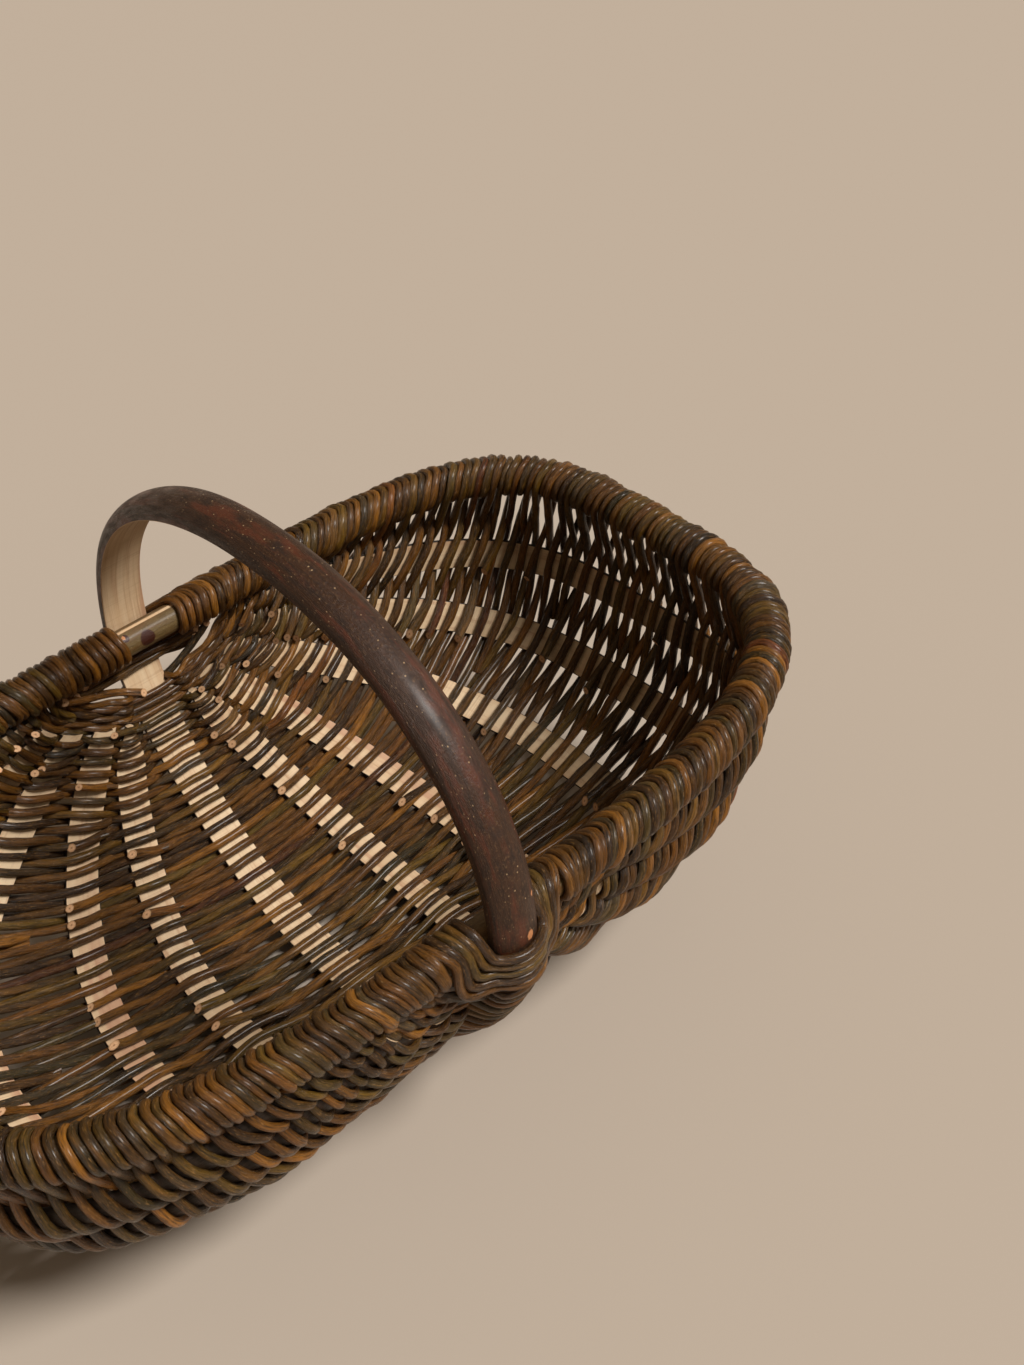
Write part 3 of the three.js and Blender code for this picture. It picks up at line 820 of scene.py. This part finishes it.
# The flat cut along the lap's top, (y, z) from the rim's middle, then the face where the halves meet.
# Close points keep its edges sharp.
LAP_CUT = ((1.27, 7.885), (-0.43, 7.93), (-0.55, 7.93), (-0.55, -7.9))


def ring_normals(rings):
    """Normals of a loft, each square to its skin, pointing out from the ring's middle."""
    around = np.roll(rings, -1, axis=1) - np.roll(rings, 1, axis=1)
    normals = unit(np.cross(around, np.gradient(rings, axis=0)))
    out = rings - rings.mean(axis=1, keepdims=True)
    return normals * (1 if np.sum(normals * out) > 0 else -1)


def depth_in(rings, spots):
    """0 to 1 at each point: how deep it lies in one of the oval spots, (place, along, up)."""
    total = np.zeros(rings.shape[:2])
    for place, along, up in spots:
        away = (rings - np.array(place)) / (along, 3 * up, up)
        total = np.maximum(total, np.clip(1.5 - norm(away, axis=-1), 0, 1))
    return total


def marks_on(rings, nicks=(), scars=()):
    """The bark's marks, kept as a tint: red for bare wood and green for a scar."""
    return np.stack([depth_in(rings, nicks), depth_in(rings, scars), np.zeros(rings.shape[:2])], -1)


def wood_loft(skin, rings, lengths, tint, slots=None, caps=(0, 0)):
    radii = norm(rings - rings.mean(axis=1, keepdims=True), axis=2)
    grain = grain_on(circle(rings.shape[1]), radii, lengths + rng.uniform(0, 3000))
    skin.loft(rings, ring_normals(rings), tint, grain, caps, slots)


def rib_skin(i):
    wanted = np.linspace(RIB_START, 1 - RIB_START, 193)
    present = [share for share in wanted if rib_half(i, share) >= RIB_TIP / 2]
    shares = np.linspace(present[0], present[-1], 140)
    half = np.maximum(rib_half(i, shares), RIB_TIP / 2) * 0.97
    lean = np.full_like(shares, STAKES[i])
    at, out = sample(POINTS, lean, shares), way_out(lean, shares)
    skew = sample(ACROSS, lean, shares) / sample(PER_DEGREE, lean, shares)
    half = half * (1 + wander(shares * 600, 0.025, 90))
    low, top = RIB_INNER, RIB_OUTER
    right = [(0.95, low), (1, low + 0.4), (1, low + 1.8), (0.86, low + 3.2)]
    right += [(0.52, top - 0.5), (0.2, top)]
    section = [(-0.95, low), *right, *[(-w, h) for w, h in right[:0:-1]]]
    rings = np.stack([at + skew * (w * half)[:, None] + out * h for w, h in section], 1)
    slots = [0] + [1] * (len(section) - 1)  # the inner face is bare, and the bark is on the rest
    skin = Skin()
    wood_loft(skin, rings, shares * line_length(STAKES[i]), np.zeros(3), slots)
    return skin


def d_section(width, thickness, offset):
    """A cleft rod: a flat inner face, then the round back with its bark."""
    low = offset - thickness / 2
    centre = offset - 0.225 * thickness
    points = [(-width / 2 + 0.5, low), (0, low), (width / 2 - 0.5, low), (width / 2, low + 0.6)]
    for turn in np.linspace(0, math.pi, D_SIDES):
        points.append((width / 2 * math.cos(turn), centre + 0.725 * thickness * math.sin(turn)))
    points.append((-width / 2, low + 0.6))
    return np.array(points)


def handle_skin():
    """The closed hoop: over the basket as the handle, then back under the bowl as its middle rib."""
    turn = np.linspace(0, math.pi, 121)
    power = 2 / HANDLE_POWER
    y = -(RIM_WIDTH / 2 + EAR_OFFSET) * np.sign(np.cos(turn)) * np.abs(np.cos(turn)) ** power
    z = RIM_HEIGHT + HANDLE_HEIGHT * np.abs(np.sin(turn)) ** power
    over, _ = resample(np.stack([np.zeros_like(y), y, z], 1), HANDLE_STEP)
    out_over = np.cross((1.0, 0, 0), unit(np.gradient(over, axis=0)))
    shares = np.linspace(0, 1, 131)[1:-1]
    at = np.vstack([over, sample(POINTS, 0, shares)])
    out = np.vstack([out_over, way_out(0, shares)])
    sections = np.full((len(over), 3), (0.0, HANDLE_WIDTH, HANDLE_THICKNESS))
    sections = np.vstack([sections, np.stack(hoop_section(shares), 1)])
    lengths = lengths_along(at)
    rings = []
    for k, (offset, width, thickness) in enumerate(sections):
        waves = [size * math.sin(lengths[k] / wave + phase) for size, wave, phase in HANDLE_WAVES]
        section = d_section(width * sum(waves, 1), thickness, offset)
        rings.append(at[k] + section[:, :1] * np.array([1.0, 0, 0]) + section[:, 1:] * out[k])
    rings = np.array([*rings, rings[0]])
    lengths = np.append(lengths, lengths[-1] + 4)
    slots = [1, 1, 1] + [0] * (rings.shape[1] - 4) + [1]
    skin = Skin()
    wood_loft(skin, rings, lengths, marks_on(rings, nicks=HANDLE_NICKS), slots)
    return skin


def rim_skin():
    """The round rod, from one end of its lap to the other, and the lap's two halves."""
    skin = Skin()
    turn = circle(RIM_SIDES)
    length = line_length(RIM_LEAN)
    shares = np.concatenate([np.linspace(LAP_LENGTH / 2 / length, 0.98, 130), [0.99, 0.995]])
    rings, lengths = [], []
    for side, order in ((1, shares), (-1, shares[-2::-1])):
        for share in order:
            centre = sample(POINTS, RIM_LEAN * side, share)
            across = np.cos(turn)[:, None] * way_out(RIM_LEAN * side, share)
            upward = np.sin(turn)[:, None] * np.array([0, 0, 1.0])
            rings.append(centre + RIM_RADIUS * (across + upward))
            lengths.append(share * length if side > 0 else (2 - share) * length)
    wood_loft(skin, np.array(rings), np.array(lengths), np.zeros(3))
    x = np.linspace(-LAP_LENGTH / 2 - 1, LAP_LENGTH / 2 + 1, LAP_STATIONS)
    for part, low, top, cut in ((-1, -90, 80, LAP_CUT), (1, -84, 84, ())):  # the inner half, the outer
        angles = np.radians(np.linspace(low, top, LAP_SIDES))
        outline = [(math.cos(a) * RIM_RADIUS, math.sin(a) * RIM_RADIUS) for a in angles] + list(cut)
        slots = [0] * (LAP_SIDES - 1) + [1] * (len(outline) - LAP_SIDES + 1)
        outline = [(RIM_WIDTH / 2 + part * y, RIM_HEIGHT + z) for y, z in outline]
        rings = np.array([[(at, *place) for place in outline] for at in x])
        wood_loft(skin, rings, x + 100, marks_on(rings, RIM_NICKS, RIM_SCARS), slots, (1, 1))
    return skin


# Materials.


class Nodes:
    """A material's nodes, added with their inputs given by name."""

    def __init__(self, name):
        self.material = bpy.data.materials.new(name)
        self.material.use_nodes = True
        self.tree = self.material.node_tree
        self.shader = self.tree.nodes["Principled BSDF"]
        self.grain = self.attribute("grain").outputs["Vector"]

    def add(self, kind, inputs=None, **settings):
        node = self.tree.nodes.new("ShaderNode" + kind)
        for key, value in settings.items():
            setattr(node, key, value)
        for key, value in (inputs or {}).items():
            self.give(node.inputs[key], value)
        return node

    def give(self, socket, value):
        if isinstance(value, bpy.types.NodeSocket):
            self.tree.links.new(value, socket)
        else:
            socket.default_value = value

    def shade(self, inputs):
        """Gives the shader's inputs, by name."""
        for name, value in inputs.items():
            self.give(self.shader.inputs[name], value)

    def attribute(self, name):
        return self.add("Attribute", attribute_name=name)

    def stretched(self, stretch):
        """The grain's places, with each measure multiplied."""
        return self.add("VectorMath", {0: self.grain, 1: stretch}, operation="MULTIPLY").outputs[0]

    def noise(self, stretch, scale, detail, roughness=0.55):
        vector = self.stretched(stretch)
        inputs = {"Vector": vector, "Scale": scale, "Detail": detail, "Roughness": roughness}
        return self.add("TexNoise", inputs).outputs["Fac"]

    def specks(self, stretch, scale):
        inputs = {"Vector": self.stretched(stretch), "Scale": scale}
        return self.add("TexVoronoi", inputs).outputs["Distance"]

    def spread(self, value, low, high, to_low, to_high):
        return self.add("MapRange", {0: value, 1: low, 2: high, 3: to_low, 4: to_high}).outputs[0]

    def mix(self, share, first, second):
        made = self.add("Mix", data_type="RGBA")
        for i, value in ((0, share), (6, first), (7, second)):
            self.give(made.inputs[i], value)
        return made.outputs[2]

    def layers(self, colour, rows):
        """Lays colours over a first one. A row is (texture, from, to, share at each, colour)."""
        for value, low, high, to_low, to_high, over in rows:
            colour = self.mix(self.spread(value, low, high, to_low, to_high), colour, over)
        return colour

    def bump(self, height, strength, distance, normal=None):
        inputs = {"Height": height, "Strength": strength, "Distance": distance}
        if normal is not None:
            inputs["Normal"] = normal
        return self.add("Bump", inputs).outputs[0]


def paint(red, green, blue):
    return (*srgb(red, green, blue).tolist(), 1.0)


def willow():
    """Unpeeled willow: each rod's own tint, wrinkles along it, worn patches and a waxy sheen."""
    made = Nodes("willow_bark")
    tint = made.attribute("tint").outputs["Color"]
    streaks = made.noise((1.0, 1.0, 0.09), 1.2, 4)
    patches = made.noise((0.3, 0.3, 0.045), 0.9, 3)
    wrinkles = made.noise((1.3, 1.3, 0.14), 1.2, 5, 0.66)
    # Pale flecks along the rods: partly worn bark, partly a painted highlight for the glints on
    # wrinkled bark.
    worn_flecks_and_painted_glints = made.noise((1.5, 1.5, 0.3), 1.1, 4, 0.65)
    specks = made.specks((1, 1, 0.6), 0.5)
    dark = made.mix(0.78, tint, paint(26, 15, 6))
    colour = made.layers(tint, (
        (streaks, 0.42, 0.66, 0, 1, dark),
        (patches, 0.54, 0.74, 0, 0.36, paint(160, 104, 36)),
        # the flecks' pale colour: worn bark and painted highlight
        (worn_flecks_and_painted_glints, 0.57, 0.67, 0, 0.55, paint(170, 124, 66)),
        (specks, 0.07, 0.13, 0.5, 0, paint(172, 138, 96)),
    ))
    made.shade({
        "Base Color": colour,
        "Roughness": made.spread(wrinkles, 0.35, 0.65, 0.22, 0.5),
        "Specular IOR Level": 0.4,
        "Coat Weight": 0.28,
        "Coat Roughness": 0.22,
        "Normal": made.bump(wrinkles, 0.95, 0.0013, made.bump(streaks, 0.6, 0.0011)),
    })
    return made.material


def cut_wood():
    """The pale slanting cuts at the ends of the rods, with a darker pith and edge."""
    made = Nodes("willow_cut_end")
    fibres = made.noise((1, 1, 1), 1.6, 4)
    across = made.stretched((1, 1, 0))
    from_pith = made.add("VectorMath", {0: across}, operation="LENGTH").outputs["Value"]
    colour = made.layers(paint(216, 164, 118), (
        (fibres, 0.3, 0.7, 0, 1, paint(244, 200, 156)),
        (from_pith, 0.35, 0.6, 0.7, 0, paint(150, 92, 56)),
        (from_pith, 1.5, 1.9, 0, 0.45, paint(150, 104, 66)),
    ))
    made.shade({"Base Color": colour, "Roughness": 0.75, "Normal": made.bump(fibres, 0.4, 0.0003)})
    return made.material


def split_wood():
    """Pale cleft wood: fine grain lines along it and ripples across, with pinkish and tan streaks."""
    made = Nodes("split_wood")
    lines = made.noise((0.6, 0.6, 0.008), 1.9, 5, 0.66)
    broad = made.noise((0.32, 0.32, 0.006), 0.9, 3)
    blotches = made.noise((0.2, 0.2, 0.08), 0.6, 2)
    ripples = made.noise((0.03, 0.03, 0.9), 1.2, 3, 0.6)
    colour = made.layers(paint(234, 206, 168), (
        (broad, 0.35, 0.62, 0, 1, paint(216, 182, 142)),
        (lines, 0.53, 0.74, 0, 0.75, paint(176, 128, 94)),
        (broad, 0.6, 0.68, 0, 0.55, paint(188, 134, 106)),
        (blotches, 0.58, 0.8, 0, 0.45, paint(186, 150, 106)),
        (ripples, 0.54, 0.7, 0, 0.4, paint(168, 128, 92)),
    ))
    roughness = made.spread(lines, 0.3, 0.7, 0.6, 0.78)
    made.shade({"Base Color": colour, "Roughness": roughness, "Normal": made.bump(lines, 0.5, 0.0005)})
    return made.material


# The colours of three barks: plain, deep, reddish, dull and speck.
HANDLE_BARK = ((66, 40, 23), (34, 20, 11), (92, 45, 25), (112, 82, 54), (190, 158, 118))
RIB_BARK = ((50, 34, 19), (28, 19, 11), (56, 33, 18), (54, 43, 27), (80, 60, 38))
RIM_BARK = ((116, 94, 56), (84, 62, 34), (108, 74, 40), (138, 118, 80), (172, 142, 98))


def dark_bark(name, colours, scale):
    """A rod's bark: ridges, reddish and deep patches, dull scuffs and pale specks, and its marks."""
    base, deep, red, dull, pale = [paint(*colour) for colour in colours]
    made = Nodes(name)
    ridges = made.noise((0.8 * scale, 0.8 * scale, 0.07), 1.3, 5, 0.62)
    patches = made.noise((0.16, 0.16, 0.035), 0.9, 4, 0.6)
    clouds = made.noise((0.26, 0.26, 0.1), 0.9, 4, 0.62)
    scuffs = made.noise((0.9, 0.9, 0.5), 1.1, 6, 0.7)
    specks = made.specks((1, 1, 0.7), 0.38)
    marks = made.add("SeparateColor", {"Color": made.attribute("tint").outputs["Color"]}).outputs
    colour = made.layers(base, (
        (ridges, 0.4, 0.64, 0, 0.6, deep),
        (patches, 0.5, 0.62, 0, 0.8, red),
        (clouds, 0.5, 0.68, 0, 0.7, deep),
        (scuffs, 0.55, 0.68, 0, 0.6, dull),
        (specks, 0.06, 0.14, 0.75, 0, pale),
        (marks["Green"], 0.4, 0.55, 0, 1, paint(64, 28, 15)),
        (marks["Red"], 0.4, 0.6, 0, 1, paint(206, 140, 92)),
    ))
    made.shade({
        "Base Color": colour,
        "Roughness": made.spread(clouds, 0.38, 0.62, 0.34, 0.62),
        "Specular IOR Level": 0.4,
        "Coat Weight": 0.13,
        "Coat Roughness": 0.26,
        "Normal": made.bump(scuffs, 0.7, 0.0008, made.bump(ridges, 0.5, 0.0008)),
    })
    return made.material


# The pieces.

RODS, WOOD = [willow(), cut_wood()], split_wood()
RIB = [WOOD, dark_bark("rib_bark", RIB_BARK, 1.0)]

for course in COURSES:
    skins[course].piece("weave_rods_" + course, RODS, "weave_" + course, "willow_weave")
for ear in TURNS:
    skins[ear].piece("lashing_rods_" + ear, RODS, "ear_lashing_" + ear, "willow_weave")
for side, word in ((-1, "left"), (1, "right")):
    wraps[side].piece("wrap_rods_" + word, RODS, "rim_wrap_" + word, "willow_wrap")
    for k, lean in enumerate(RIB_LEANS, 1):
        rib = rib_skin(STAKES.index(side * lean))
        rib.piece(f"split_rib_{word}_{k}", RIB, f"rib_{word}_{k}", "split_wood")
handle_bark = dark_bark("handle_bark", HANDLE_BARK, 1.0)
handle_skin().piece("handle_rod", [handle_bark, WOOD], "handle_hoop", "handle_bark")
rim_bark = dark_bark("rim_bark", RIM_BARK, 0.8)
rim_skin().piece("rim_rod", [rim_bark, WOOD], "rim_hoop", "rim_bark")


# The floor, the light and the camera, which stands where the photograph's did.

FLOOR_COLOUR, FLOOR_SIZE, FLOOR_HEIGHT = paint(193, 179, 164), 12, -0.0005  # sizes in metres
WORLD_COLOUR, WORLD_STRENGTH = (1.0, 0.82, 0.62, 1.0), 0.2
SUN_COLOUR, SUN_STRENGTH, SUN_ANGLE, SUN_WAY = (1.0, 0.975, 0.94), 3.2, 18, (-0.48, 0.84, -1.28)
AZIMUTH, ELEVATION, ROLL = np.radians([-40.57, 40.91, -3.31])
DISTANCE = 897.4  # from the middle of the rim's plane
CENTRE, FOCAL, IMAGE = (300.2, 765.4), 1804.3, (1024, 1365)  # in the photograph's pixels
SENSOR = 36


def add_floor():
    made = Nodes("floor")
    made.shade({"Base Color": FLOOR_COLOUR, "Roughness": 0.9, "Specular IOR Level": 0.2})
    bpy.ops.mesh.primitive_plane_add(size=FLOOR_SIZE, location=(0, 0, FLOOR_HEIGHT))
    floor = bpy.context.object
    floor.name = "floor"
    floor.data.materials.append(made.material)


def add_world():
    world = bpy.context.scene.world or bpy.data.worlds.new("World")
    bpy.context.scene.world = world
    world.use_nodes = True
    background = world.node_tree.nodes["Background"]
    background.inputs["Color"].default_value = WORLD_COLOUR
    background.inputs["Strength"].default_value = WORLD_STRENGTH


def add_key_light():
    """A broad soft light from the front right, above the camera."""
    data = bpy.data.lights.new("key", "SUN")
    data.angle = math.radians(SUN_ANGLE)
    data.energy = SUN_STRENGTH
    data.color = SUN_COLOUR
    made = add_object("key", data)
    made.rotation_euler = Vector(SUN_WAY).to_track_quat("-Z", "Y").to_euler()


def add_camera():
    level, height = math.cos(ELEVATION), math.sin(ELEVATION)
    back = np.array([math.sin(AZIMUTH) * level, -math.cos(AZIMUTH) * level, height])
    right = np.array([math.cos(AZIMUTH), math.sin(AZIMUTH), 0.0])
    up = np.cross(back, right)
    c, s = math.cos(ROLL), math.sin(ROLL)
    right, up = c * right + s * up, -s * right + c * up
    aside = (np.array(CENTRE) - np.array(IMAGE) / 2) / FOCAL * DISTANCE
    turned = np.stack([right, up, back], 1)
    at = turned @ np.array([-aside[0], aside[1], DISTANCE]) + (0, 0, RIM_HEIGHT)
    data = bpy.data.cameras.new("camera")
    data.sensor_fit = "AUTO"
    data.sensor_width = SENSOR
    data.lens = FOCAL * SENSOR / IMAGE[1]
    data.clip_start = 0.02
    place = np.eye(4)
    place[:3, :3] = turned
    place[:3, 3] = at / 1000
    bpy.context.scene.camera = add_object("camera", data)
    bpy.context.scene.camera.matrix_world = Matrix(place.tolist())


add_floor()
add_world()
add_key_light()
add_camera()
bpy.context.scene.view_settings.view_transform = "Standard"
